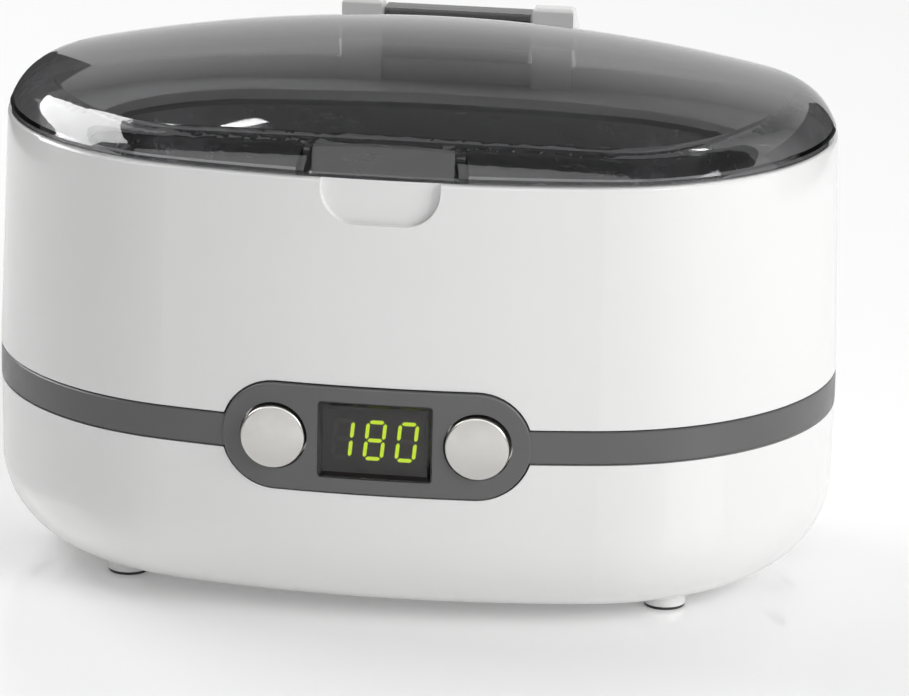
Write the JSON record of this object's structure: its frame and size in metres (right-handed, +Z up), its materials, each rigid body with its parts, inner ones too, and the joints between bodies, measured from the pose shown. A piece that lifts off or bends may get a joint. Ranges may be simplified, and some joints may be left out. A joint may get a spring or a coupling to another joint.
{
  "type": "ultrasonic cleaner",
  "caption": "Oval benchtop ultrasonic cleaner with a smoked hinged lid, a stainless tank, and a grey band whose front panel holds a digit display between round push-buttons.",
  "frame": {"origin": "on the bench, at the middle of the whole footprint, hinge and buttons included", "axes": "+X to the right seen from the front, +Y from the control panel towards the hinge, +Z up"},
  "size_m": [0.206, 0.146, 0.1313],
  "materials": {
    "casing_white": "moulded white plastic with a low gloss",
    "trim_grey": "fine-textured dark grey plastic",
    "lid_smoked": "clear smoked grey, glossy",
    "window_smoked": "clear dark smoked, glossy",
    "button_metallised": "metallised satin silver",
    "display_body": "matte black",
    "segment_lit": "glowing yellow-green, emissive",
    "segment_dark": "unlit diffuser",
    "stainless": "satin stainless sheet",
    "steel_plated": "zinc-plated fastener",
    "pin_steel": "ground steel",
    "seal_rubber": "soft black seal",
    "foot_rubber": "grey rubber",
    "board_green": "green solder mask on glass-fibre board",
    "board_black": "black solder mask on glass-fibre board",
    "switch_black": "matte black",
    "mass_aluminium": "turned aluminium",
    "mass_steel": "turned steel",
    "piezo_ceramic": "silvered ceramic rings",
    "electrode_brass": "thin brass",
    "ferrite": "dark sintered ferrite",
    "winding_tape": "yellow insulating tape",
    "can_black": "dark shrink sleeve",
    "heat_sink_aluminium": "extruded aluminium",
    "transistor_black": "moulded epoxy",
    "fuse_glass": "nickel-plated clips and end caps with a glass tube",
    "connector_white": "natural nylon",
    "inlet_black": "black appliance inlet",
    "lead_blue": "insulated wire",
    "lead_red": "insulated wire",
    "ribbon_grey": "flat grey ribbon cable"
  },
  "bodies": {
    "casing": {"upper_casing": "casing_white", "lower_casing": "casing_white", "trim_band": "trim_grey", "hinge_pin": "pin_steel", "switch_bodies": "switch_black", "display_window": "window_smoked", "display_housing": "display_body", "segments_lit": "segment_lit", "segments_unlit": "segment_dark", "display_board": "board_black", "display_board_screws": "steel_plated", "tank": "stainless", "tank_gasket": "seal_rubber", "tank_clips": "steel_plated", "tank_clip_screws": "steel_plated", "transducer_front_mass": "mass_aluminium", "piezo_rings": "piezo_ceramic", "transducer_electrodes": "electrode_brass", "transducer_back_mass": "mass_steel", "transducer_bolt": "steel_plated", "main_board": "board_green", "main_board_screws": "steel_plated", "transformer_core": "ferrite", "transformer_winding": "winding_tape", "capacitors": "can_black", "heat_sink": "heat_sink_aluminium", "power_transistors": "transistor_black", "mains_fuse": "fuse_glass", "board_connectors": "connector_white", "power_inlet": "inlet_black", "inlet_pins": "pin_steel", "mains_leads": "lead_blue", "transducer_leads": "lead_red", "display_ribbon": "ribbon_grey", "foot_pads": "foot_rubber", "casing_screws": "steel_plated"},
    "lid": {"lid": "lid_smoked"},
    "button_left": {"button_left": "button_metallised", "switch_plunger_left": "switch_black"},
    "button_right": {"button_right": "button_metallised", "switch_plunger_right": "switch_black"}
  },
  "joints": [
    {"name": "lid_hinge", "type": "hinge", "parent": "casing", "child": "lid", "pos_m": [0, 0.063, 0.117], "axis": [-1, 0, 0], "range_deg": [0, 95]},
    {"name": "button_left_press", "type": "slide", "parent": "casing", "child": "button_left", "axis": [0, 1, 0], "range_m": [0, 0.0005], "stiffness_N_per_m": 400},
    {"name": "button_right_press", "type": "slide", "parent": "casing", "child": "button_right", "axis": [0, 1, 0], "range_m": [0, 0.0005], "stiffness_N_per_m": 400}
  ]
}
